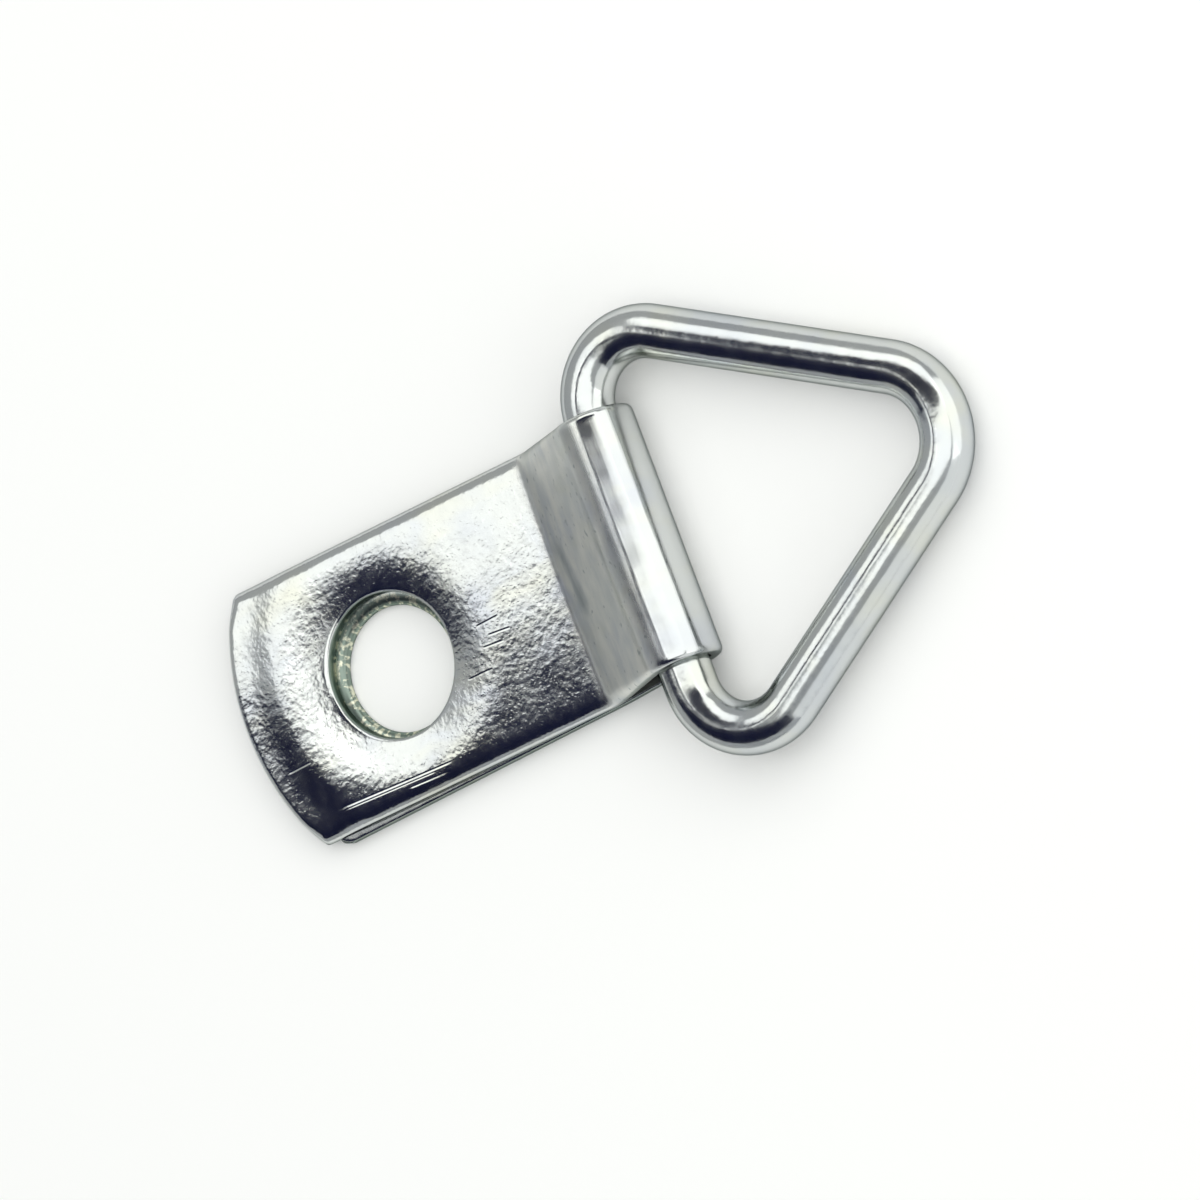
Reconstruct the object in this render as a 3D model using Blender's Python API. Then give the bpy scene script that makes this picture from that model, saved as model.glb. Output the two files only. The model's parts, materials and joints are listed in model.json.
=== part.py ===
"""Strap hanger: a folded sheet-steel strap whose barrel holds a loose triangular wire ring.

Both pieces are bent stock, so each is drawn from a bend table of straight runs and bends along a centre line.
The origin is on the screw hole's axis at the back of the strap. +X runs towards the ring and +Z away from
the surface that the strap is screwed to.
"""

import math

import bmesh
import bpy
from mathutils import Vector

# Strap, in metres
STRAP_WIDTH = 0.0100
SHEET = 0.0005
LEAF_GAP = 0.0001
UPPER_REACH = 0.0068
LOWER_REACH = 0.0062
END_RADIUS = 0.0100
UPPER_CORNER = 0.0002
LOWER_CORNER = 0.0004
UPPER_HOLE = 0.0054
LOWER_HOLE = 0.0047
EDGE_ROUND = 0.00012

# Barrel, the loop of the strap that the wire turns in
WIRE_AXIS_X = 0.0119
RUNNING_CLEARANCE = 0.00005
JOGGLE_RADIUS = 0.0009
JOGGLE_ANGLE = math.radians(31)

# Ring, a wire triangle with its butt joint hidden in the barrel
WIRE = 0.0020
BASE_ANGLE = math.radians(59.4)
BASE_BEND = 0.0024
TIP_BEND = 0.0027
BUTT_GAP = 0.0003
END_PLAY = 0.0002
SIDE_SHIFT = 0.0005

# Fineness of the facets
ARC_STEP = math.radians(10)
HOLE_STEPS = 24
WIRE_RINGS = 6
ROUND_STEPS = 2
SHARP_EDGE = math.radians(40)
SAME_POINT = 1e-7

# Heights and radii that follow from the sizes above
LOWER_MID = SHEET / 2
UPPER_MID = LOWER_MID + LEAF_GAP + SHEET
BARREL_MID = WIRE / 2 + RUNNING_CLEARANCE + SHEET / 2
AXIS_HEIGHT = LOWER_MID + BARREL_MID


def polar(radius, angle):
    return Vector((radius * math.cos(angle), radius * math.sin(angle)))


def arc(centre, radius, first, last):
    """Points from one angle to another, both ends included."""
    steps = max(1, math.ceil(abs(last - first) / ARC_STEP))
    return [centre + polar(radius, first + (last - first) * i / steps) for i in range(steps + 1)]


def bent_line(start, heading, moves):
    """Points along bent stock. A move is (length, 0) for a straight run or (radius, angle) for a bend."""
    points = [Vector(start)]
    for size, turn in moves:
        if turn:
            side = math.copysign(math.pi / 2, turn)
            centre = points[-1] + polar(size, heading + side)
            points += arc(centre, size, heading - side, heading - side + turn)[1:]
            heading += turn
        else:
            points.append(points[-1] + polar(size, heading))
    return points


def plated_steel(name, colour, roughness):
    material = bpy.data.materials.new(name)
    material.use_nodes = True
    shader = material.node_tree.nodes["Principled BSDF"]
    shader.inputs["Base Color"].default_value = (*colour, 1)
    shader.inputs["Roughness"].default_value = roughness
    shader.inputs["Metallic"].default_value = 1
    return material


def add_object(name, data, material):
    data.materials.append(material)
    piece = bpy.data.objects.new(name, data)
    bpy.context.scene.collection.objects.link(piece)
    return piece


def barrel_line():
    """The middle of the sheet in side view, from the upper leaf's bend round the wire to below that bend."""
    rise = AXIS_HEIGHT + BARREL_MID - UPPER_MID
    ramp = (rise - (JOGGLE_RADIUS + BARREL_MID) * (1 - math.cos(JOGGLE_ANGLE))) / math.sin(JOGGLE_ANGLE)
    climb = (JOGGLE_RADIUS + BARREL_MID) * math.sin(JOGGLE_ANGLE) + ramp * math.cos(JOGGLE_ANGLE)
    moves = (
        (JOGGLE_RADIUS, JOGGLE_ANGLE),
        (ramp, 0),
        (BARREL_MID, -JOGGLE_ANGLE - math.pi),
        (climb, 0),
    )
    return bent_line((WIRE_AXIS_X - climb, UPPER_MID), 0, moves)


def leaf_end(reach, corner):
    """Half of the free end in plan, from the +Y edge to the middle: a rounded corner, then a wide arc."""
    middle = Vector((END_RADIUS - reach, 0))
    inset_y = STRAP_WIDTH / 2 - corner
    inset_x = math.sqrt((END_RADIUS - corner) ** 2 - inset_y**2)
    meet = math.pi - math.atan2(inset_y, inset_x)
    corner_centre = middle + Vector((-inset_x, inset_y))
    return arc(corner_centre, corner, math.pi / 2, meet) + arc(middle, END_RADIUS, meet, math.pi)[1:]


def half_hole(diameter):
    """Half of a screw hole in plan, from its free-end side over +Y to its barrel side."""
    turns = [math.pi * (1 - i / HOLE_STEPS) for i in range(HOLE_STEPS + 1)]
    return [polar(diameter / 2, turn) for turn in turns]


def add_leaf(mesh, bend, reach, corner, hole):
    """A flat leaf as two halves that meet on y = 0, from the bend's three points to the free end."""
    plan = leaf_end(reach, corner) + half_hole(hole)
    height = bend[1].co.z
    for edge, side in ((bend[0], 1), (bend[2], -1)):
        rim = [mesh.verts.new((p.x, side * p.y, height)) for p in plan]
        mesh.faces.new((edge, *rim, bend[1]))


def make_strap():
    """The folded strip: its middle surface, thickened to the sheet and rounded along its edges."""
    mesh = bmesh.new()
    sides = (STRAP_WIDTH / 2, 0, -STRAP_WIDTH / 2)
    rows = [[mesh.verts.new((p.x, y, p.y)) for y in sides] for p in barrel_line()]
    for row, after in zip(rows, rows[1:]):
        mesh.faces.new((row[0], row[1], after[1], after[0]))
        mesh.faces.new((row[1], row[2], after[2], after[1]))
    add_leaf(mesh, rows[0], UPPER_REACH, UPPER_CORNER, UPPER_HOLE)
    add_leaf(mesh, rows[-1], LOWER_REACH, LOWER_CORNER, LOWER_HOLE)
    bmesh.ops.remove_doubles(mesh, verts=mesh.verts, dist=SAME_POINT)
    bmesh.ops.recalc_face_normals(mesh, faces=mesh.faces)
    data = bpy.data.meshes.new("strap")
    mesh.to_mesh(data)
    mesh.free()
    data.shade_smooth()
    strap = add_object("strap", data, plated_steel("zinc_sheet", (0.72, 0.74, 0.75), 0.22))
    thicken = strap.modifiers.new("sheet", "SOLIDIFY")
    thicken.thickness = SHEET
    thicken.offset = 0
    thicken.use_even_offset = True
    rounding = strap.modifiers.new("rounded_edges", "BEVEL")
    rounding.width = EDGE_ROUND
    rounding.segments = ROUND_STEPS
    rounding.limit_method = "ANGLE"
    rounding.angle_limit = SHARP_EDGE
    rounding.use_clamp_overlap = False
    return strap


def ring_line():
    """The wire's centre line in the ring's own plane, from one end of the butt joint round to the other."""
    half_run = STRAP_WIDTH / 2 + END_PLAY
    half_base = half_run + BASE_BEND / math.tan(BASE_ANGLE / 2)
    leg = half_base / math.cos(BASE_ANGLE)
    leg -= BASE_BEND / math.tan(BASE_ANGLE / 2) + TIP_BEND * math.tan(BASE_ANGLE)
    moves = (
        (half_run - BUTT_GAP / 2, 0),
        (BASE_BEND, BASE_ANGLE - math.pi),
        (leg, 0),
        (TIP_BEND, -2 * BASE_ANGLE),
        (leg, 0),
        (BASE_BEND, BASE_ANGLE - math.pi),
        (half_run - BUTT_GAP / 2, 0),
    )
    return bent_line((0, BUTT_GAP / 2), math.pi / 2, moves)


def make_ring():
    """The wire ring, turned about the barrel's axis until its tip rests level with the strap's back."""
    points = ring_line()
    data = bpy.data.curves.new("ring", "CURVE")
    data.dimensions = "3D"
    data.bevel_depth = WIRE / 2
    data.bevel_resolution = WIRE_RINGS
    data.use_fill_caps = True
    spline = data.splines.new("POLY")
    spline.points.add(len(points) - 1)
    for knot, point in zip(spline.points, points):
        knot.co = (*point, 0, 1)
    ring = add_object("ring", data, plated_steel("zinc_wire", (0.74, 0.75, 0.76), 0.14))
    tip = max(point.x for point in points)
    droop = math.asin((AXIS_HEIGHT - WIRE / 2) / tip)
    ring.location = (WIRE_AXIS_X, -SIDE_SHIFT, AXIS_HEIGHT)
    ring.rotation_euler = (0, droop, 0)
    return ring


for old in list(bpy.data.objects):
    bpy.data.objects.remove(old)
make_strap()
make_ring()
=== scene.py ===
# %% [markdown]
# # A strap hanger in bright zinc
#
# A strap hanger is two pieces of bent steel. A short strip is folded back on itself, and its fold grips
# a triangular ring of wire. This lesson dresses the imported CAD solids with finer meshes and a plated
# finish, and sets them in a small photo studio.

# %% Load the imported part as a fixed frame
import json
import math

import bpy
from mathutils import Matrix, Vector, noise

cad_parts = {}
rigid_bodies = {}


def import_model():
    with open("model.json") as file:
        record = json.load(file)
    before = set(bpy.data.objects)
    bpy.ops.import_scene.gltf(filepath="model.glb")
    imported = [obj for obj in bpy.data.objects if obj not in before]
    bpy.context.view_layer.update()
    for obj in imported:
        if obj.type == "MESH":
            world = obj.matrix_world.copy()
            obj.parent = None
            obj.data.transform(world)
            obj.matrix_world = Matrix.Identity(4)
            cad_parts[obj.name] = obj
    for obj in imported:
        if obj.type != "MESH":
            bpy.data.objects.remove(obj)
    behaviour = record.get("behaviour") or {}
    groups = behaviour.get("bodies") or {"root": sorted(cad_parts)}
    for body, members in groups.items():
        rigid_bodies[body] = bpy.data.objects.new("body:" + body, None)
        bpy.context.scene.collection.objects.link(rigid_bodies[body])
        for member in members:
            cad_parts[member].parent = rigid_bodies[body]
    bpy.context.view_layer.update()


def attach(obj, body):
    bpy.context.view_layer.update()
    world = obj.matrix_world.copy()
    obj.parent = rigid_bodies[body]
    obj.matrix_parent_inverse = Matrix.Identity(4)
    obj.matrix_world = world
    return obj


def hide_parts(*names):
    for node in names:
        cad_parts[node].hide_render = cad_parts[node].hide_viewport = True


for leftover in list(bpy.data.objects):
    bpy.data.objects.remove(leftover)
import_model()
MM = 0.001

# %% [markdown]
# ## Camera
#
# The photograph was taken with a long lens, from above the strap and turned so that the strap runs up to
# the right. A camera can be aimed with a Track To constraint, but the picture is also rolled, so here the
# three axes of the camera are worked out from two angles and a roll, and become its matrix.

# %% Place the camera
AIM = Vector((9.329, -1.250, 1.1)) * MM
DISTANCE = 495.255 * MM
AZIMUTH = math.radians(71.55)
ELEVATION = math.radians(59.12)
ROLL = math.radians(-94.62)
LENS = 408.15
SENSOR = 36
NEAREST = 10 * MM

back = Vector((
    math.sin(AZIMUTH) * math.cos(ELEVATION),
    -math.cos(AZIMUTH) * math.cos(ELEVATION),
    math.sin(ELEVATION),
))
level = Vector((0, 0, 1)).cross(back).normalized()
right = Matrix.Rotation(ROLL, 3, back) @ level
up = back.cross(right)
lens = bpy.data.cameras.new("long_lens")
lens.lens = LENS
lens.sensor_width = SENSOR
lens.clip_start = NEAREST
camera = bpy.data.objects.new("camera", lens)
place = Matrix((right, up, back)).transposed().to_4x4()
place.translation = AIM + back * DISTANCE
camera.matrix_world = place
bpy.context.scene.collection.objects.link(camera)
bpy.context.scene.camera = camera
print("camera stands at, in mm:", [round(value / MM, 1) for value in place.translation])

# %% [markdown]
# ## Studio
#
# Bright metal has almost no colour of its own: it shows the room. The room here is a white floor, a
# light grey sky, five soft lamps, and three navy cards and a grey one that only reflections see. Cards could
# be painted into the sky, but a card that stands close looks different from each place on the metal, as in
# a real studio. What a flat piece of metal shows depends on the direction that its reflection leaves in, so
# every lamp and card is placed by how far it leans from straight overhead, in degrees towards +X and +Y.

# %% Directions overhead
ROOM = 0.40


def overhead(lean_x, lean_y):
    """The direction that leans this many degrees from straight up, towards +X and +Y."""
    lean = math.radians(math.hypot(lean_x, lean_y))
    turn = math.atan2(lean_y, lean_x)
    return Vector((math.sin(lean) * math.cos(turn), math.sin(lean) * math.sin(turn), math.cos(lean)))


def facing(lean_x, lean_y):
    """A matrix that looks back at the part from that direction, turned so that its sides follow X and Y."""
    away = overhead(lean_x, lean_y)
    across = away.cross(Vector((1, 0, 0))).normalized()
    along = across.cross(away)
    matrix = Matrix((along, across, away)).transposed().to_4x4()
    matrix.translation = AIM + away * ROOM
    return matrix


print("straight up is", tuple(overhead(0, 0)))

# %% Floor and sky
scene = bpy.context.scene
scene.view_settings.view_transform = "Standard"
PAPER_WHITE = (0.96, 0.96, 0.96)
SKY_TINT = (0.97, 1, 1, 1)
SKY_STRENGTH = 0.47
FLOOR = 3.0
FLOOR_DROP = 0.02 * MM


def painted(name, colour):
    """A dead matt painted surface for the stage."""
    material = bpy.data.materials.new(name)
    material.use_nodes = True
    shader = material.node_tree.nodes["Principled BSDF"]
    shader.inputs["Base Color"].default_value = (*colour, 1)
    shader.inputs["Roughness"].default_value = 1
    shader.inputs["Specular IOR Level"].default_value = 0
    return material


def stage_plane(name, corners, material):
    """A flat piece of the stage from its corners."""
    data = bpy.data.meshes.new(name)
    data.from_pydata(corners, [], [tuple(range(len(corners)))])
    data.materials.append(material)
    plane = bpy.data.objects.new(name, data)
    scene.collection.objects.link(plane)
    return plane


floor_corners = [(x * FLOOR, y * FLOOR, -FLOOR_DROP) for x, y in ((-1, -1), (1, -1), (1, 1), (-1, 1))]
stage_plane("floor", floor_corners, painted("white_paper", PAPER_WHITE))
sky = bpy.data.worlds.new("light_grey_room")
sky.use_nodes = True
sky.node_tree.nodes["Background"].inputs["Color"].default_value = SKY_TINT
sky.node_tree.nodes["Background"].inputs["Strength"].default_value = SKY_STRENGTH
scene.world = sky
print("floor", 2 * FLOOR, "m across")

# %% Soft lamps
LAMP_TINT = (1, 1, 0.96)


def soft_lamp(name, lean, half_along, half_across, glow):
    """A rectangular soft lamp. The half sizes are angles in degrees. Glow is how bright its face looks."""
    light = bpy.data.lights.new(name, "AREA")
    light.shape = "RECTANGLE"
    light.size = 2 * ROOM * math.tan(math.radians(half_along))
    light.size_y = 2 * ROOM * math.tan(math.radians(half_across))
    light.color = LAMP_TINT
    light.energy = glow * math.pi * light.size * light.size_y
    lamp = bpy.data.objects.new(name, light)
    lamp.matrix_world = facing(*lean)
    lamp.visible_camera = False
    scene.collection.objects.link(lamp)
    return lamp


lamps = (
    soft_lamp("side_lamp", lean=(18, 17), half_along=32, half_across=44, glow=1.1),
    soft_lamp("low_lamp", lean=(74, 0), half_along=24, half_across=34, glow=1.05),
    soft_lamp("top_lamp", lean=(-30, 23), half_along=9, half_across=13, glow=1.02),
    soft_lamp("strip_lamp", lean=(-19, 8), half_along=7, half_across=6, glow=1.1),
    soft_lamp("fill_lamp", lean=(40, -60), half_along=26, half_across=20, glow=0.55),
)
print(len(lamps), "lamps stand", ROOM, "m away")

# %% Dark cards
NAVY = (0.009, 0.011, 0.034)
GREY = (0.42, 0.43, 0.45)
CARD_REACH = 0.45
NECK_REACH = 0.2
LOW_BORDER = ((11, -67), (-10, -66), (-30, -59), (-44, -49), (-54, -38), (-60, -27))


def dark_card(name, leans, reach, cloth):
    """A card that only reflections see, with corners at these leans, this share of the room away."""
    card = stage_plane(name, [AIM + overhead(*lean) * ROOM * reach for lean in leans], cloth)
    card.visible_camera = False
    card.visible_diffuse = False
    card.visible_shadow = False
    return card


navy_cloth = painted("navy_cloth", NAVY)
grey_cloth = painted("grey_cloth", GREY)
cards = (
    dark_card("high_card", (
        (-19, 11), (-20.5, 15), (-20, 20), (-17.5, 24), (-14.5, 29), (-9, 32.5), (-2, 34.5), (4, 37),
        (14, 36.5), (22, 34), (32, 31.5), (39, 29.5), (45, 24.5), (42, 18), (35, 13.5), (24, 11.5),
        (14, 9.5), (-12, 9.5),
    ), CARD_REACH, navy_cloth),
    dark_card("low_card", (
        (-80, 13.5), (-54, 13), (-48, 11), (-42, 9.5), (-34, 8.5), (-29, 6.8), (-23, 6.5), (-22.5, -6),
        (-19.5, -13), (-15, -20), (-10, -26), (-4, -32), (0, -37), (3, -43), (5, -54), (9, -61),
        *LOW_BORDER, (-60, -6), (-56, 0), (-58, 8), (-80, 10.5),
    ), CARD_REACH, navy_cloth),
    dark_card("far_card", (
        LOW_BORDER[0], (14, -74), (19, -80), (20, -90), (-33, -90), (-40, -84), (-44, -74), (-48, -66),
        (-56, -60), (-63, -50), (-73, -42), (-63, -28), *reversed(LOW_BORDER[1:]),
    ), CARD_REACH, grey_cloth),
    dark_card("neck_card", (
        (-24, 3), (-18, 3), (-15.5, 8), (-12.5, 12), (-10, 20), (-5, 28), (-8, 31), (-13, 28), (-18, 21),
        (-20.5, 15), (-22, 11), (-24, 9),
    ), NECK_REACH, navy_cloth),
)
print(len(cards), "cards stand", ROOM * NECK_REACH, "to", ROOM * CARD_REACH, "m away")

# %% [markdown]
# ## Zinc finish
#
# Zinc plating is a metal, so the shader's Metallic is 1 and the look comes from three things: a base colour
# close to neutral with a breath of blue and straw yellow, a gloss that varies from place to place, and
# bumps. A drum-plated strap has a fine orange peel, which a bump from two noises gives. The folding tool
# has rubbed the ramp dull, and sheared edges are greyer and rougher than the faces. Noise can't know where
# those are, so the strap's mesh will carry a number for each at every point, and the shader reads them as
# the attributes peel, satin and cut. The sheared grey also holds painted light: pale glints painted in the
# lower screw hole, and painted shade on the lower leaf's edges, which get more of the grey under the upper
# leaf.

# %% Node helpers


def add_node(tree, kind, inputs=None, **settings):
    """A new shader node. Each input is a number, a colour or another node's output to link."""
    made = tree.nodes.new(kind)
    for name, value in settings.items():
        setattr(made, name, value)
    for key, value in (inputs or {}).items():
        if isinstance(value, bpy.types.NodeSocket):
            tree.links.new(value, made.inputs[key])
        else:
            made.inputs[key].default_value = value
    return made


def maths(tree, operation, first, second):
    """One operation on two numbers, or on the first alone, as an output."""
    made = add_node(tree, "ShaderNodeMath", {0: first, 1: second}, operation=operation)
    return made.outputs["Value"]


def vector_maths(tree, operation, first, second=(0, 0, 0)):
    """The same for two vectors, as the output that the operation fills."""
    made = add_node(tree, "ShaderNodeVectorMath", {0: first, 1: second}, operation=operation)
    return made.outputs["Value" if operation in ("DOT_PRODUCT", "LENGTH") else "Vector"]


def tinted(tree, amount, first, second):
    """The first colour, going over to the second as the amount goes from 0 to 1."""
    made = add_node(tree, "ShaderNodeMix", {0: amount, 6: first, 7: second}, data_type="RGBA")
    return made.outputs[2]


def from_mesh(tree, name):
    """The mesh's own attribute of this name."""
    return add_node(tree, "ShaderNodeAttribute", attribute_name=name)


print("node helpers ready for Blender", bpy.app.version_string)

# %% Noise and streaks
STREAK_FADE = 1 / 6


def ranged(tree, value, low, high, first=0.0, last=1.0):
    """Spreads a value between low and high out to first and last."""
    spread = add_node(tree, "ShaderNodeMapRange", {
        "Value": value,
        "From Min": low,
        "From Max": high,
        "To Min": first,
        "To Max": last,
    })
    return spread.outputs["Result"]


def noise_at(tree, place, size, detail=2.0, stretch=(1, 1, 1)):
    """Noise whose lumps are about this many millimetres across, as a 0 to 1 output."""
    grain = add_node(tree, "ShaderNodeTexNoise", {
        "Vector": vector_maths(tree, "MULTIPLY", place, stretch),
        "Scale": 1 / (size * MM),
        "Detail": detail,
    })
    return grain.outputs["Fac"]


def streak(tree, place, start, end, half_width):
    """1 along a line between two points, in millimetres, fading to 0 at its half width and its ends."""
    start = Vector(start) * MM
    run = Vector(end) * MM - start
    along = run.normalized()
    side = Vector((0, 0, 1)).cross(along).normalized()
    offset = vector_maths(tree, "SUBTRACT", place, start)
    ahead = vector_maths(tree, "DOT_PRODUCT", offset, along)
    aside = vector_maths(tree, "DOT_PRODUCT", offset, side)
    near = ranged(tree, maths(tree, "ABSOLUTE", aside, 0), 0, half_width * MM, 1, 0)
    fade = run.length * STREAK_FADE
    begun = ranged(tree, ahead, 0, fade)
    ended = ranged(tree, ahead, run.length - fade, run.length, 1, 0)
    return maths(tree, "MULTIPLY", near, maths(tree, "MULTIPLY", begun, ended))


print("a streak fades over", round(STREAK_FADE, 2), "of its length at each end")

# %% Colours of the plated strap
ZINC = (0.66, 0.68, 0.67, 1)
ZINC_BLUE = (0.585, 0.61, 0.655, 1)
ZINC_STRAW = (0.69, 0.69, 0.585, 1)
STRAW_SHARE = 0.6
RUBBED_PALE = (0.80, 0.80, 0.76, 1)
SMEAR_GREY = (0.38, 0.41, 0.42, 1)
SPECK_SHARE = 0.7
SMEAR_LINE = ((8.6, 1.6, 1.6), (9.0, -1.8, 1.8))
SMEAR_HALF_WIDTH = 0.4
SMEAR_SHARES = (0.9, 0.3)


def plated_colour(tree, place):
    """Zinc with patches of blue and straw yellow."""
    cool = ranged(tree, noise_at(tree, place, size=2.6), low=0.45, high=0.75)
    warm = ranged(tree, noise_at(tree, place, size=1.9, stretch=(0.6, 1.3, 1)), low=0.52, high=0.78)
    colour = tinted(tree, cool, ZINC, ZINC_BLUE)
    return tinted(tree, maths(tree, "MULTIPLY", warm, STRAW_SHARE), colour, ZINC_STRAW)


def rubbed_colour(tree, place, satin, colour):
    """This colour with the ramp's pale patches, its grey specks and the smear across it."""
    patches = noise_at(tree, place, size=0.9, detail=3, stretch=(1.5, 0.5, 1.5))
    mottle = ranged(tree, patches, low=0.4, high=0.68)
    colour = tinted(tree, maths(tree, "MULTIPLY", mottle, satin), colour, RUBBED_PALE)
    specks = noise_at(tree, place, size=0.22, detail=1, stretch=(1.4, 0.7, 1.4))
    specks = ranged(tree, specks, low=0.68, high=0.76, last=SPECK_SHARE)
    colour = tinted(tree, maths(tree, "MULTIPLY", specks, satin), colour, SMEAR_GREY)
    smear = streak(tree, place, *SMEAR_LINE, SMEAR_HALF_WIDTH)
    smear = maths(tree, "MULTIPLY", smear, ranged(tree, mottle, 0, 1, *SMEAR_SHARES))
    return tinted(tree, smear, colour, SMEAR_GREY)


print("zinc reflects", ZINC[:3])

# %% Colour of sheared metal, with painted glints
CUT_GREY = (0.25, 0.31, 0.27, 1)
# Painted highlight: pale straw flecks that stand in for glints on the lower hole's wall and the lower leaf's
# edges.
PALE_GLINT = (0.78, 0.78, 0.62, 1)
GLINT_HEIGHTS = (0.45 * MM, 0.65 * MM)
GLINT_RADII = (3.0 * MM, 3.4 * MM)
GLINTS_OUTSIDE = 0.15


def sheared_colour_and_glints(tree, place):
    """Grey torn steel, with pale glints painted in the lower half of the screw hole and faint ones farther
    out.
    """
    glints = ranged(tree, noise_at(tree, place, size=0.2, stretch=(1, 1, 0.6)), low=0.5, high=0.6)
    height = add_node(tree, "ShaderNodeSeparateXYZ", {0: place}).outputs["Z"]
    glints = maths(tree, "MULTIPLY", glints, ranged(tree, height, *GLINT_HEIGHTS, 1, 0))
    radius = vector_maths(tree, "LENGTH", vector_maths(tree, "MULTIPLY", place, (1, 1, 0)))
    glints = maths(tree, "MULTIPLY", glints, ranged(tree, radius, *GLINT_RADII, 1, GLINTS_OUTSIDE))
    return tinted(tree, glints, CUT_GREY, PALE_GLINT)


print("sheared metal reflects", CUT_GREY[:3])

# %% Bumps of the strap
COARSE_SHARE = 1.05
FINE_SHARE = 0.18
GRIT_SHARE = 0.18
RUBBED_SHARE = 0.4
SCRATCHES = (
    ((-4.42, -4.04, 1), (1.24, -4.26, 1), 0.06, 1.6),
    ((-4.2, -4.16, 1), (0.4, -4.34, 1), 0.04, 1.0),
    ((-1.2, -4.46, 1), (0.97, -4.55, 1), 0.05, 1.2),
    ((-5.67, -2.02, 1), (-4.52, -2.01, 1), 0.05, 1.4),
    ((4.07, -0.15, 1), (5.15, -0.12, 1), 0.06, 1.2),
    ((4.46, -0.63, 1), (5.45, -0.72, 1), 0.06, 1.3),
    ((4.03, -0.97, 1), (4.98, -1.05, 1), 0.06, 1.0),
    ((2.93, -1.79, 1), (4.13, -1.81, 1), 0.06, 1.3),
)


def strap_height(tree, place, peel):
    """Orange peel and scratches on the leaves, going over to lines rubbed across the strap on the ramp."""
    coarse = maths(tree, "MULTIPLY", noise_at(tree, place, size=0.27, detail=1), COARSE_SHARE)
    fine = maths(tree, "MULTIPLY", noise_at(tree, place, size=0.10, detail=1), FINE_SHARE)
    grit = ranged(tree, noise_at(tree, place, size=0.09, detail=0), low=0.66, high=0.82)
    height = maths(tree, "ADD", coarse, fine)
    height = maths(tree, "ADD", height, maths(tree, "MULTIPLY", grit, GRIT_SHARE))
    for start, end, half_width, depth in SCRATCHES:
        groove = maths(tree, "MULTIPLY", streak(tree, place, start, end, half_width), depth)
        height = maths(tree, "SUBTRACT", height, groove)
    height = maths(tree, "MULTIPLY", height, peel)
    rubbed = noise_at(tree, place, size=0.11, detail=2, stretch=(1, 0.05, 1))
    rubbed = maths(tree, "MULTIPLY", rubbed, ranged(tree, peel, 0, 1, RUBBED_SHARE, 0))
    return maths(tree, "ADD", height, rubbed)


print(len(SCRATCHES), "scratches on the leaf")

# %% Finish of the strap
GRAZING = (0.30, 0.32, 0.32, 1)
NOISE_SPREAD = (0.3, 0.7)
STRAP_ROUGHNESS = (0.11, 0.18)
SATIN_ROUGHNESS = 0.17
CUT_ROUGHNESS = 0.16
PEEL_HEIGHT = 0.009 * MM


def bright_metal(name):
    """A new metal and its shader, with toned down reflections at a grazing angle."""
    material = bpy.data.materials.new(name)
    material.use_nodes = True
    shader = material.node_tree.nodes["Principled BSDF"]
    shader.inputs["Metallic"].default_value = 1
    shader.inputs["Specular Tint"].default_value = GRAZING
    return material, shader


def add_bump(tree, shader, height, distance):
    """Bumps on the shader. The distance is how far a height of 1 stands out."""
    bump = add_node(tree, "ShaderNodeBump", {"Strength": 1, "Distance": distance, "Height": height})
    tree.links.new(bump.outputs["Normal"], shader.inputs["Normal"])


def strap_zinc():
    """Zinc on sheet: plated, rubbed or sheared, as the mesh's attributes say, with painted glints and
    painted shade in the cut.
    """
    material, shader = bright_metal("strap_zinc")
    tree = material.node_tree
    place = add_node(tree, "ShaderNodeTexCoord").outputs["Object"]
    peel = from_mesh(tree, "peel").outputs["Fac"]
    satin = from_mesh(tree, "satin").outputs["Fac"]
    cut = from_mesh(tree, "cut").outputs["Fac"]
    colour = rubbed_colour(tree, place, satin, plated_colour(tree, place))
    colour = tinted(tree, cut, colour, sheared_colour_and_glints(tree, place))
    tree.links.new(colour, shader.inputs["Base Color"])
    worn = ranged(tree, noise_at(tree, place, size=0.5, detail=3), *NOISE_SPREAD, *STRAP_ROUGHNESS)
    dulled = maths(tree, "MULTIPLY", satin, SATIN_ROUGHNESS)
    dulled = maths(tree, "ADD", dulled, maths(tree, "MULTIPLY", cut, CUT_ROUGHNESS))
    tree.links.new(maths(tree, "ADD", worn, dulled), shader.inputs["Roughness"])
    add_bump(tree, shader, strap_height(tree, place, peel), PEEL_HEIGHT)
    return material


strap_finish = strap_zinc()
print("finish:", strap_finish.name, "with", len(strap_finish.node_tree.nodes), "nodes")

# %% Finish of the ring
WIRE_ZINC = (0.65, 0.67, 0.66, 1)
WIRE_BLUE = (0.57, 0.60, 0.635, 1)
WIRE_STRAW = (0.67, 0.68, 0.59, 1)
WIRE_STRAW_SHARE = 0.7
RING_ROUGHNESS = (0.12, 0.19)
DRAWN_SHARE = 0.25
RIPPLE_HEIGHT = 0.008 * MM


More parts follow.
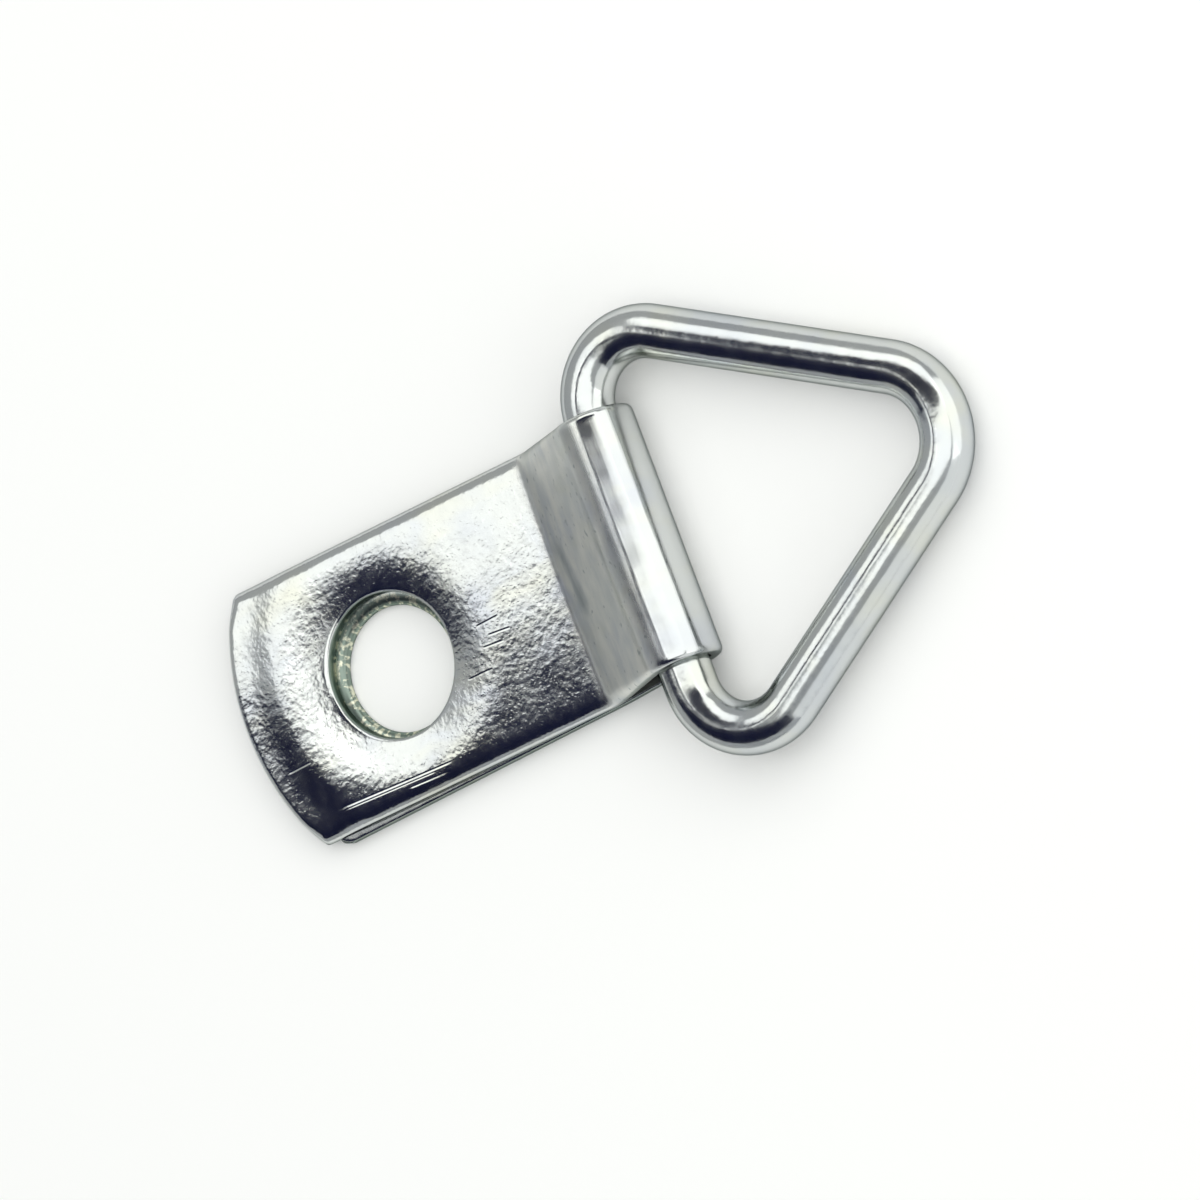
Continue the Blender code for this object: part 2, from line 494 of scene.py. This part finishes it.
def ring_zinc():
    """Zinc on wire. Fine lines from drawing follow the wire, by its attribute wire_place."""
    material, shader = bright_metal("ring_zinc")
    tree = material.node_tree
    place = add_node(tree, "ShaderNodeTexCoord").outputs["Object"]
    wire_place = from_mesh(tree, "wire_place").outputs["Vector"]
    cool = ranged(tree, noise_at(tree, place, size=3), low=0.45, high=0.75)
    warm = ranged(tree, noise_at(tree, place, size=2.2), low=0.5, high=0.75, last=WIRE_STRAW_SHARE)
    colour = tinted(tree, warm, tinted(tree, cool, WIRE_ZINC, WIRE_BLUE), WIRE_STRAW)
    tree.links.new(colour, shader.inputs["Base Color"])
    worn = ranged(tree, noise_at(tree, place, size=0.6, detail=3), *NOISE_SPREAD, *RING_ROUGHNESS)
    tree.links.new(worn, shader.inputs["Roughness"])
    ripple = noise_at(tree, place, size=0.5)
    drawn = noise_at(tree, wire_place, size=0.12, stretch=(0.04, 1, 1))
    height = maths(tree, "ADD", ripple, maths(tree, "MULTIPLY", drawn, DRAWN_SHARE))
    add_bump(tree, shader, height, RIPPLE_HEIGHT)
    return material


ring_finish = ring_zinc()
print("finish:", ring_finish.name, "with", len(ring_finish.node_tree.nodes), "nodes")

# %% [markdown]
# ## The strap
#
# The real strap is one strip, punched, folded round a bar and flattened. A Solidify modifier on a flat sheet
# would give the fold, but its edges would be square and its faces dead flat. Here the sheet is a grid of
# rows along the strip and columns across it, with a rosette of quads round each screw hole. Every grid
# point knows how far it is from the nearest edge, so the outer and inner skins can roll over there as a
# sheared edge does.

# %% Sizes of the strip, in millimetres
HALF_WIDTH = 5.0
SHEET = 0.5
LEAF_GAP = 0.1
WIRE_RADIUS = 1.0
CLEARANCE = 0.05
AXIS_X = 11.9
JOGGLE_RADIUS = 0.9
JOGGLE = math.radians(31)
END_RADIUS = 10.0
UPPER_REACH = 6.8
LOWER_REACH = 6.2
UPPER_CORNER = 0.2
LOWER_CORNER = 0.4
UPPER_HOLE_RADIUS = 2.7
LOWER_HOLE_RADIUS = 2.35

LOWER_MID = SHEET / 2
UPPER_MID = LOWER_MID + LEAF_GAP + SHEET
BARREL_MID = WIRE_RADIUS + CLEARANCE + SHEET / 2
AXIS_Z = LOWER_MID + BARREL_MID
rise = AXIS_Z + BARREL_MID - UPPER_MID
RAMP = (rise - (JOGGLE_RADIUS + BARREL_MID) * (1 - math.cos(JOGGLE))) / math.sin(JOGGLE)
CLIMB = (JOGGLE_RADIUS + BARREL_MID) * math.sin(JOGGLE) + RAMP * math.cos(JOGGLE)
BEND_X = AXIS_X - CLIMB
print("the bend starts at x =", round(BEND_X, 3), "and the ramp is", round(RAMP, 3), "long")

# %% Side view of the strip
JOGGLE_RUN = JOGGLE_RADIUS * JOGGLE
RAMP_END = JOGGLE_RUN + RAMP
BARREL_FRONT = RAMP_END + BARREL_MID * (JOGGLE + math.pi / 2)
BARREL_END = RAMP_END + BARREL_MID * (JOGGLE + math.pi)
LOWER_BEND = BARREL_END + CLIMB


def side_view(run):
    """(x, z, heading) of the sheet's middle this far past the upper leaf's bend. Negative is on the leaf."""
    if run <= 0:
        return BEND_X + run, UPPER_MID, 0.0
    if run <= JOGGLE_RUN:
        turn = run / JOGGLE_RADIUS
        x = BEND_X + JOGGLE_RADIUS * math.sin(turn)
        return x, UPPER_MID + JOGGLE_RADIUS * (1 - math.cos(turn)), turn
    if run <= RAMP_END:
        x, z, heading = side_view(JOGGLE_RUN)
        ahead = run - JOGGLE_RUN
        return x + ahead * math.cos(heading), z + ahead * math.sin(heading), heading
    if run <= BARREL_END:
        heading = JOGGLE - (run - RAMP_END) / BARREL_MID
        return AXIS_X - BARREL_MID * math.sin(heading), AXIS_Z + BARREL_MID * math.cos(heading), heading
    return AXIS_X - (run - BARREL_END), LOWER_MID, -math.pi


def upper_run(x):
    """How far a point of the upper leaf is along the strip."""
    return x - BEND_X


def lower_run(x):
    """The same for a point of the lower leaf."""
    return BARREL_END + AXIS_X - x


print("strip length past the bend:", round(LOWER_BEND, 2))

# %% Columns across the strip
# PATCH is half the side of the square that a rosette will fill round each hole.
PATCH = 3.9
PATCH_CELLS = 56
EDGE_STEPS = (0, 0.012, 0.035, 0.07, 0.11, 0.16, 0.22, 0.30, 0.42, 0.60, 0.84)


def steps(first, last, count):
    """Evenly spaced values, both ends included."""
    return [first + (last - first) * i / count for i in range(count + 1)]


columns = [-HALF_WIDTH + inset for inset in EDGE_STEPS]
columns += steps(-PATCH, PATCH, PATCH_CELLS)
columns += [HALF_WIDTH - inset for inset in reversed(EDGE_STEPS)]
print(len(columns), "columns across the strip")

# %% How far a plan point is from the edges


def end_line(y, reach, corner):
    """x of the free end at this y: a wide arc with a small round corner at each side."""
    middle = END_RADIUS - reach
    inset = HALF_WIDTH - corner
    if abs(y) <= inset * END_RADIUS / (END_RADIUS - corner):
        return middle - math.sqrt(END_RADIUS**2 - y**2)
    centre = middle - math.sqrt((END_RADIUS - corner) ** 2 - inset**2)
    return centre - math.sqrt(max(0.0, corner**2 - (abs(y) - inset) ** 2))


def edge_distance(x, y, reach, corner):
    """Distance inwards from the strip's long edges and free end."""
    side = HALF_WIDTH - abs(y)
    end = END_RADIUS - math.hypot(x - (END_RADIUS - reach), y)
    if x > END_RADIUS - reach:
        end = HALF_WIDTH
    if side < corner and end < corner:
        return corner - math.hypot(corner - side, corner - end)
    return max(0.0, min(side, end))


print("the free end's middle is at x =", end_line(0, UPPER_REACH, UPPER_CORNER))

# %% [markdown]
# ## The marks of the press
#
# No pressed leaf is flat. The punch dishes the sheet round the hole, the shear bows its end down, and the
# fold swells a little where it leaves the ramp. These waves are at most two tenths of a millimetre high,
# but a mirror shows them: they bend the reflections of the cards into the dark corners of the leaf. They
# could be sculpted. Here they are a few formulas, whose results are added while the grid grows.

# %% Ease curves


def smooth(value):
    """An ease from 0 to 1."""
    value = min(1.0, max(0.0, value))
    return value * value * (3 - 2 * value)


def eased(distance, width):
    """1 at no distance, falling to 0 at this width with no corner there."""
    return (1 - min(1.0, max(0.0, distance) / width)) ** 2


def roll_over(distance, width, drop):
    """How far a sheared edge has rolled down at this distance from it: a quarter of an ellipse."""
    if distance >= width:
        return 0.0
    return drop * (1 - math.sqrt(max(0.0, 1 - (1 - distance / width) ** 2)))


print("halfway up, the ease is", smooth(0.5))

# %% The slow waves of the upper leaf
ARCH = 0.14
ARCH_LIFT = 0.09
DISH = 0.14
DISH_WIDTH = 2.4
END_DIP = 0.13
END_FLAT = 0.7
END_SLOPE = 1.5
END_EASE = 0.4
EASE_START = -1.0
EASE_RUN = 3.0
WAVE = 0.010
WAVE_PLACE = 0.3
WAVE_LENGTH = 1.6
WAVE_WIDTH = 1.3


def hole_dish(x, y):
    """1 at the rim of the screw hole, falling to 0 where the dish round it ends."""
    return eased(math.hypot(x, y) - UPPER_HOLE_RADIUS, DISH_WIDTH)


def leaf_wave(x, y):
    """Lift of the upper leaf: arched across, dished round the hole, dipping to its end, a little uneven."""
    lift = ARCH_LIFT - ARCH * (y / HALF_WIDTH) ** 2
    lift -= DISH * hole_dish(x, y)
    if x < END_RADIUS - UPPER_REACH:
        to_end = END_RADIUS - math.hypot(x - (END_RADIUS - UPPER_REACH), y)
        dip = END_DIP * (1 - END_EASE * smooth((y - EASE_START) / EASE_RUN))
        lift -= dip * (1 - smooth((to_end - END_FLAT) / END_SLOPE))
    return lift + WAVE * noise.noise(Vector((x / WAVE_LENGTH, y / WAVE_WIDTH, WAVE_PLACE)))


print("the leaf's end is lifted by", round(leaf_wave(-UPPER_REACH, 0), 3), "mm")

# %% The barrel's twist and swell
BARREL_TWIST = 0.010
BARREL_BOW = 0.0009
BARREL_SWELL = 0.18
SWELL_LEAD = 0.3
SWELL_RUN = 1.7
BARREL_TURN = 1.4
BARREL_WAVE = 0.009
BARREL_WAVE_PLACE = 4.7
BARREL_WAVE_LENGTH = 2.0
BARREL_WAVE_WIDTH = 1.2


def upper_wave(run, y):
    """Lift of the strip from its free end to the front of the barrel."""
    lift = leaf_wave(BEND_X + run, y)
    if run <= 0:
        return lift
    swell = BARREL_SWELL * smooth((run - RAMP_END + SWELL_LEAD) / SWELL_RUN)
    lean = (BARREL_TWIST - BARREL_BOW * y) * y
    if run < RAMP_END:
        share = smooth(run / RAMP_END)
        return lift * (1 - share) + lean * share + swell
    past = run - RAMP_END - BARREL_TURN
    front = 1 - smooth(past / (BARREL_FRONT - RAMP_END - BARREL_TURN))
    uneven = noise.noise(Vector((run / BARREL_WAVE_LENGTH, y / BARREL_WAVE_WIDTH, BARREL_WAVE_PLACE)))
    return (swell + lean + BARREL_WAVE * uneven) * front


print("the barrel swells by", round(upper_wave(RAMP_END + BARREL_TURN, 0), 3), "mm")

# %% The crease at the foot of the ramp
CREASE_WANDER = 0.12
CREASE_REACH = 1.2
CREASE_PLACE = 2.6
CREASE_WIDTH = 1.9


def crease_shift(run, y):
    """How far the bend wanders along the strip at this place, so that the crease isn't ruled."""
    window = smooth(1 - abs(run) / CREASE_REACH)
    return CREASE_WANDER * noise.noise(Vector((0, y / CREASE_WIDTH, CREASE_PLACE))) * window


print("the crease moves by", round(crease_shift(0, HALF_WIDTH), 3), "mm at the edge")

# %% Thickness of the sheet at its edges
# Each roll is a width and a drop, in millimetres.
DISH_THIN = 0.06
EDGE_ROLL = (0.62, 0.40)
END_ROLL = (0.26, 0.20)
FOLD_ROLL = (0.26, 0.20)
LOWER_ROLL = (0.12, 0.10)
INNER_ROLL = (0.05, 0.05)
HOLE_ROLL = (0.14, 0.12)
FUNNEL = (0.36, 0.30)
END_ZONE = -4.2
END_BLEND = 1.2
BURR = 0.05
BURR_WIDTH = 0.2


def outer_height(run, y, edge, hole, thin, turned, returned):
    """The outer skin's height over the middle of the sheet. Each part of the strip has its own edge roll."""
    slim = smooth((END_ZONE - BEND_X - run) / END_BLEND) * smooth((HALF_WIDTH - abs(y)) / END_BLEND)
    shares = (
        (EDGE_ROLL, (1 - turned) * (1 - slim)),
        (END_ROLL, (1 - turned) * slim),
        (FOLD_ROLL, turned - returned),
        (LOWER_ROLL, returned),
    )
    width = sum(roll[0] * share for roll, share in shares)
    drop = sum(roll[1] * share for roll, share in shares)
    return SHEET / 2 - thin - roll_over(edge, width, drop) - roll_over(hole, *HOLE_ROLL)


def inner_height(edge, hole, lower):
    """The inner skin's height, with a burr round the upper hole and a funnel into the lower one."""
    height = -SHEET / 2 + roll_over(edge, *INNER_ROLL)
    if lower:
        return height + roll_over(hole, *FUNNEL)
    return height - BURR * (1 - smooth(hole / BURR_WIDTH))


print("the funnel is", FUNNEL[1], "mm deep")

# %% Where the finish is sheared, rubbed or peeled
RIM = 0.02
HOLE_CUT = 1.0
EDGE_CUT = 0.4
# The lower leaf's share is partly painted shade: its edges lie under the upper leaf and get more sheared
# grey than the upper leaf's edges.
LOWER_CUT_AND_SHADE = 0.75
FUNNEL_FADE = 0.2
PEEL_END = 0.1
PEEL_FADE = 0.9
SATIN_START = -0.35
SATIN_EASE = 0.6
SATIN_END = RAMP_END + 0.45
SATIN_FADE = 0.6


def rim_cut_and_shade(edge, hole, returned):
    """How much sheared finish the metal gets: fully in the holes, less on the outer edges, and more on the
    lower leaf's edges, partly as painted shade under the upper leaf.
    """
    if edge < RIM:
        return EDGE_CUT + (LOWER_CUT_AND_SHADE - EDGE_CUT) * returned
    return HOLE_CUT if hole < RIM else 0.0


def funnel_cut(hole):
    """The same in the funnel that leads into the lower hole."""
    return HOLE_CUT * (1 - smooth((hole - FUNNEL[0]) / FUNNEL_FADE))


def peel_at(run):
    """1 where the leaves have orange peel, 0 on the ramp and after it."""
    return 1 - smooth((run - PEEL_END) / PEEL_FADE)


def satin_at(run):
    """1 on the ramp, which the folding tool rubbed, and 0 elsewhere."""
    return smooth((run - SATIN_START) / SATIN_EASE) * (1 - smooth((run - SATIN_END) / SATIN_FADE))


print("the satin band is", round(SATIN_END - SATIN_START, 2), "mm long")

# %% Two skins on one grid
NARROW = 0.12
SKEW = math.radians(1.2)
SKEW_X = 8.5


class Skins:
    """Collects grid points as an outer and an inner skin of one closed strap."""

    def __init__(self):
        self.outer = []
        self.inner = []
        self.peel = []
        self.satin = []
        self.outer_cut_and_shade = []
        self.inner_cut_and_shade = []
        self.quads = []

    def add(self, run, y, edge, hole):
        """One grid point: where it is along the strip and across it, and its distances to edge and hole."""
        x, z, heading = side_view(run + crease_shift(run, y))
        normal = Vector((-math.sin(heading), 0.0, math.cos(heading)))
        lift = 0.0
        thin = 0.0
        if run < BARREL_FRONT:
            lift = upper_wave(run, y)
            thin = DISH_THIN * hole_dish(BEND_X + run, y)
        lower = run > BARREL_END
        turned = smooth(run / RAMP_END)
        returned = smooth((run - BARREL_END) / CLIMB)
        y *= 1 - NARROW / HALF_WIDTH * (turned - returned)
        point = Vector((x, y, z)) + normal * lift
        if lower:
            pivot = Vector((SKEW_X, 0, 0))
            point = Matrix.Rotation(SKEW * returned, 3, "Z") @ (point - pivot) + pivot
        self.outer.append((point + normal * outer_height(run, y, edge, hole, thin, turned, returned)) * MM)
        self.inner.append((point + normal * inner_height(edge, hole, lower)) * MM)
        # The cut number is also painted shade on the lower leaf's edges, which lie under the upper leaf.
        cut = rim_cut_and_shade(edge, hole, returned)
        self.outer_cut_and_shade.append(cut)
        self.inner_cut_and_shade.append(max(cut, funnel_cut(hole)) if lower else cut)
        self.peel.append(peel_at(run))
        self.satin.append(satin_at(run))
        return len(self.outer) - 1

    def join(self, rows, backwards=False):
        """Quads from each row to the next. The lower leaf lies face down, so its rows join backwards."""
        if backwards:
            rows = rows[::-1]
        for row, after in zip(rows, rows[1:]):
            for i in range(len(row) - 1):
                corners = (row[i], after[i], after[i + 1], row[i + 1])
                if None not in corners:
                    self.quads.append(corners)


skins = Skins()
print("the lower leaf is turned by", round(math.degrees(SKEW), 2), "degrees")

# %% Rows of a leaf
# FAR is a distance from an edge that no roll reaches.
END_SPAN = 2.0
END_CELLS = 10
NECK_CELLS = 34
FAR = 9.0
LEFT = columns.index(-PATCH)
RIGHT = LEFT + PATCH_CELLS
TOP = len(EDGE_STEPS) + END_CELLS - 1
BOTTOM = TOP + PATCH_CELLS


def leaf_plan(reach, corner):
    """x of each grid point of a leaf, row by row from its free end to its bend."""
    shares = [inset / END_SPAN for inset in EDGE_STEPS]
    shares += steps(shares[-1], 1, END_CELLS)[1:]
    plan = [[end_line(y, reach, corner) * (1 - share) - PATCH * share for y in columns] for share in shares]
    straight = steps(-PATCH, PATCH, PATCH_CELLS)[1:] + steps(PATCH, BEND_X, NECK_CELLS)[1:]
    return plan + [[x] * len(columns) for x in straight]


def leaf(reach, corner, to_run):
    """The rows of a leaf, with a square left open round its hole."""
    made = []
    for number, plan_row in enumerate(leaf_plan(reach, corner)):
        row = []
        for i, (x, y) in enumerate(zip(plan_row, columns)):
            if TOP < number < BOTTOM and LEFT < i < RIGHT:
                row.append(None)
            else:
                row.append(skins.add(to_run(x), y, edge_distance(x, y, reach, corner), FAR))
        made.append(row)
    skins.join(made, backwards=to_run is lower_run)
    return made


upper_rows = leaf(UPPER_REACH, UPPER_CORNER, upper_run)
print(len(upper_rows), "rows on the upper leaf")

# %% Rosette round a hole
HOLE_STEPS = (0, 0.012, 0.035, 0.07, 0.11, 0.16, 0.22, 0.31, 0.43)
ROSETTE_CELLS = 10

square = [(TOP, i) for i in range(LEFT, RIGHT)]
square += [(row, RIGHT) for row in range(TOP, BOTTOM)]
square += [(BOTTOM, i) for i in range(RIGHT, LEFT, -1)]
square += [(row, LEFT) for row in range(BOTTOM, TOP, -1)]


def rosette(made, hole, reach, corner, to_run):
    """Rings of quads from the square left open in a leaf down to the rim of its hole."""
    rings = [[made[row][column] for row, column in square]]
    spots = []
    for row, column in square:
        x = -PATCH + 2 * PATCH * (row - TOP) / PATCH_CELLS
        spots.append(Vector((x, columns[column])))
    for cell in range(1, ROSETTE_CELLS):
        ring = []
        for spot in spots:
            inner = spot.normalized() * (hole + HOLE_STEPS[-1])
            here = spot.lerp(inner, cell / ROSETTE_CELLS)
            edge = edge_distance(*here, reach, corner)
            ring.append(skins.add(to_run(here.x), here.y, edge, here.length - hole))
        rings.append(ring)
    for inset in reversed(HOLE_STEPS):
        ring = []
        for spot in spots:
            here = spot.normalized() * (hole + inset)
            ring.append(skins.add(to_run(here.x), here.y, FAR, inset))
        rings.append(ring)
    skins.join([ring + ring[:1] for ring in rings], backwards=to_run is lower_run)


rosette(upper_rows, UPPER_HOLE_RADIUS, UPPER_REACH, UPPER_CORNER, upper_run)
lower_rows = leaf(LOWER_REACH, LOWER_CORNER, lower_run)
rosette(lower_rows, LOWER_HOLE_RADIUS, LOWER_REACH, LOWER_CORNER, lower_run)
print(len(skins.outer), "grid points on the leaves")

# %% Rows round the barrel
JOGGLE_CELLS = 10
RAMP_CELLS = 22
BARREL_CELLS = 80
BACK_CELLS = 20

runs = steps(0, JOGGLE_RUN, JOGGLE_CELLS)[1:]
runs += steps(JOGGLE_RUN, RAMP_END, RAMP_CELLS)[1:]
runs += steps(RAMP_END, BARREL_END, BARREL_CELLS)[1:]
runs += steps(BARREL_END, LOWER_BEND, BACK_CELLS)[1:-1]
fold_rows = [[skins.add(run, y, HALF_WIDTH - abs(y), FAR) for y in columns] for run in runs]
fold_rows = [upper_rows[-1], *fold_rows, lower_rows[-1]]
skins.join(fold_rows)
print(len(fold_rows), "rows from bend to bend")

# %% Close the strap


def build_strap():
    """One closed mesh: both skins, and a wall of quads wherever a skin has an open edge."""
    count = len(skins.outer)
    points = skins.outer + skins.inner
    faces = skins.quads + [tuple(count + i for i in reversed(quad)) for quad in skins.quads]
    edges = [pair for quad in skins.quads for pair in zip(quad, quad[1:] + quad[:1])]
    known = set(edges)
    faces += [(b, a, count + a, count + b) for a, b in edges if (b, a) not in known]
    data = bpy.data.meshes.new("strap_skin")
    data.from_pydata(points, [], faces)
    data.validate()
    attributes = (
        ("peel", skins.peel + skins.peel),
        ("satin", skins.satin + skins.satin),
        # cut also carries painted shade on the lower leaf's edges.
        ("cut", skins.outer_cut_and_shade + skins.inner_cut_and_shade),
    )
    for name, values in attributes:
        data.attributes.new(name, "FLOAT", "POINT").data.foreach_set("value", values)
    data.shade_smooth()
    data.materials.append(strap_finish)
    strap = bpy.data.objects.new("strap_skin", data)
    scene.collection.objects.link(strap)
    return strap


strap_skin = build_strap()
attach(strap_skin, "strap")
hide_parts("strap")
print("strap:", len(strap_skin.data.vertices), "points,", len(strap_skin.data.polygons), "faces")

# %% [markdown]
# ## The ring
#
# The ring is a length of wire bent to a triangle, with its two ends meeting inside the barrel. A curve with
# a round bevel would give the same shape. Here the wire's circle is swept along the line by hand, so that
# each point can also keep its place on the straight wire, before it was bent. The finish needs that place
# to draw its fine lines along the wire and round the bends.

# %% The wire's centre line
BASE_ANGLE = math.radians(59.4)
BASE_BEND = 2.4
TIP_BEND = 2.7
BUTT_GAP = 0.3
END_PLAY = 0.2
FINE_STEP = 0.08


def wire_moves():
    """(length, turn) of each straight run and bend of the ring, from one cut end to the other."""
    half_run = HALF_WIDTH + END_PLAY
    half_base = half_run + BASE_BEND / math.tan(BASE_ANGLE / 2)
    leg = half_base / math.cos(BASE_ANGLE)
    leg -= BASE_BEND / math.tan(BASE_ANGLE / 2) + TIP_BEND * math.tan(BASE_ANGLE)
    base_turn = BASE_ANGLE - math.pi
    inside = (half_run - BUTT_GAP / 2, 0)
    base = (BASE_BEND * -base_turn, base_turn)
    tip_bend = (TIP_BEND * 2 * BASE_ANGLE, -2 * BASE_ANGLE)
    return inside, base, (leg, 0), tip_bend, (leg, 0), base, inside


def wire_line():
    """(point, heading) along the wire in the ring's own plane, evenly spaced."""
    point = Vector((0, BUTT_GAP / 2))
    heading = math.pi / 2
    line = [(point.copy(), heading)]
    for length, turn in wire_moves():
        count = max(1, round(length / FINE_STEP))
        for i in range(count):
            middle = heading + turn / count / 2
            chord = length / count
            if turn:
                half = abs(turn) / count / 2
                chord *= math.sin(half) / half
            point = point + Vector((math.cos(middle), math.sin(middle))) * chord
            heading += turn / count
            line.append((point.copy(), heading))
    return line


centre_line = wire_line()
tip = max(point.x for point, heading in centre_line)
print(len(centre_line), "points along the wire, tip", round(tip, 2), "mm from the axis")

# %% Sweep the wire
AROUND = 48
SIDE_SHIFT = 0.5
DROOP = math.asin((AXIS_Z - WIRE_RADIUS) / tip)


def swept_wire():
    """Points, loops of point numbers, and each point's place on the straight wire."""
    to_part = Matrix.Translation((AXIS_X, -SIDE_SHIFT, AXIS_Z)) @ Matrix.Rotation(DROOP, 4, "Y")
    points = []
    loops = []
    unrolled = []
    along = 0.0
    before = centre_line[0][0]
    for point, heading in centre_line:
        along += (point - before).length
        before = point
        side = Vector((-math.sin(heading), math.cos(heading), 0))
        loops.append(range(len(points), len(points) + AROUND))
        for k in range(AROUND):
            turn = 2 * math.pi * k / AROUND
            out = WIRE_RADIUS * math.cos(turn)
            above = WIRE_RADIUS * math.sin(turn)
            points.append(to_part @ (Vector((point.x, point.y, above)) + side * out) * MM)
            unrolled += [along * MM, out * MM, above * MM]
    return points, loops, unrolled


def build_ring():
    """The swept wire as one closed mesh, with a flat cap on each cut end."""
    points, loops, unrolled = swept_wire()
    faces = []
    for loop, after in zip(loops, loops[1:]):
        for k in range(AROUND):
            j = (k + 1) % AROUND
            faces.append((loop[k], loop[j], after[j], after[k]))
    faces.append(tuple(reversed(loops[0])))
    faces.append(tuple(loops[-1]))
    data = bpy.data.meshes.new("ring_wire")
    data.from_pydata(points, [], faces)
    data.validate()
    data.attributes.new("wire_place", "FLOAT_VECTOR", "POINT").data.foreach_set("vector", unrolled)
    data.shade_smooth()
    data.materials.append(ring_finish)
    ring = bpy.data.objects.new("ring_wire", data)
    scene.collection.objects.link(ring)
    return ring


ring_wire = build_ring()
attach(ring_wire, "ring")
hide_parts("ring")
print("ring:", len(ring_wire.data.vertices), "points,", len(ring_wire.data.polygons), "faces")
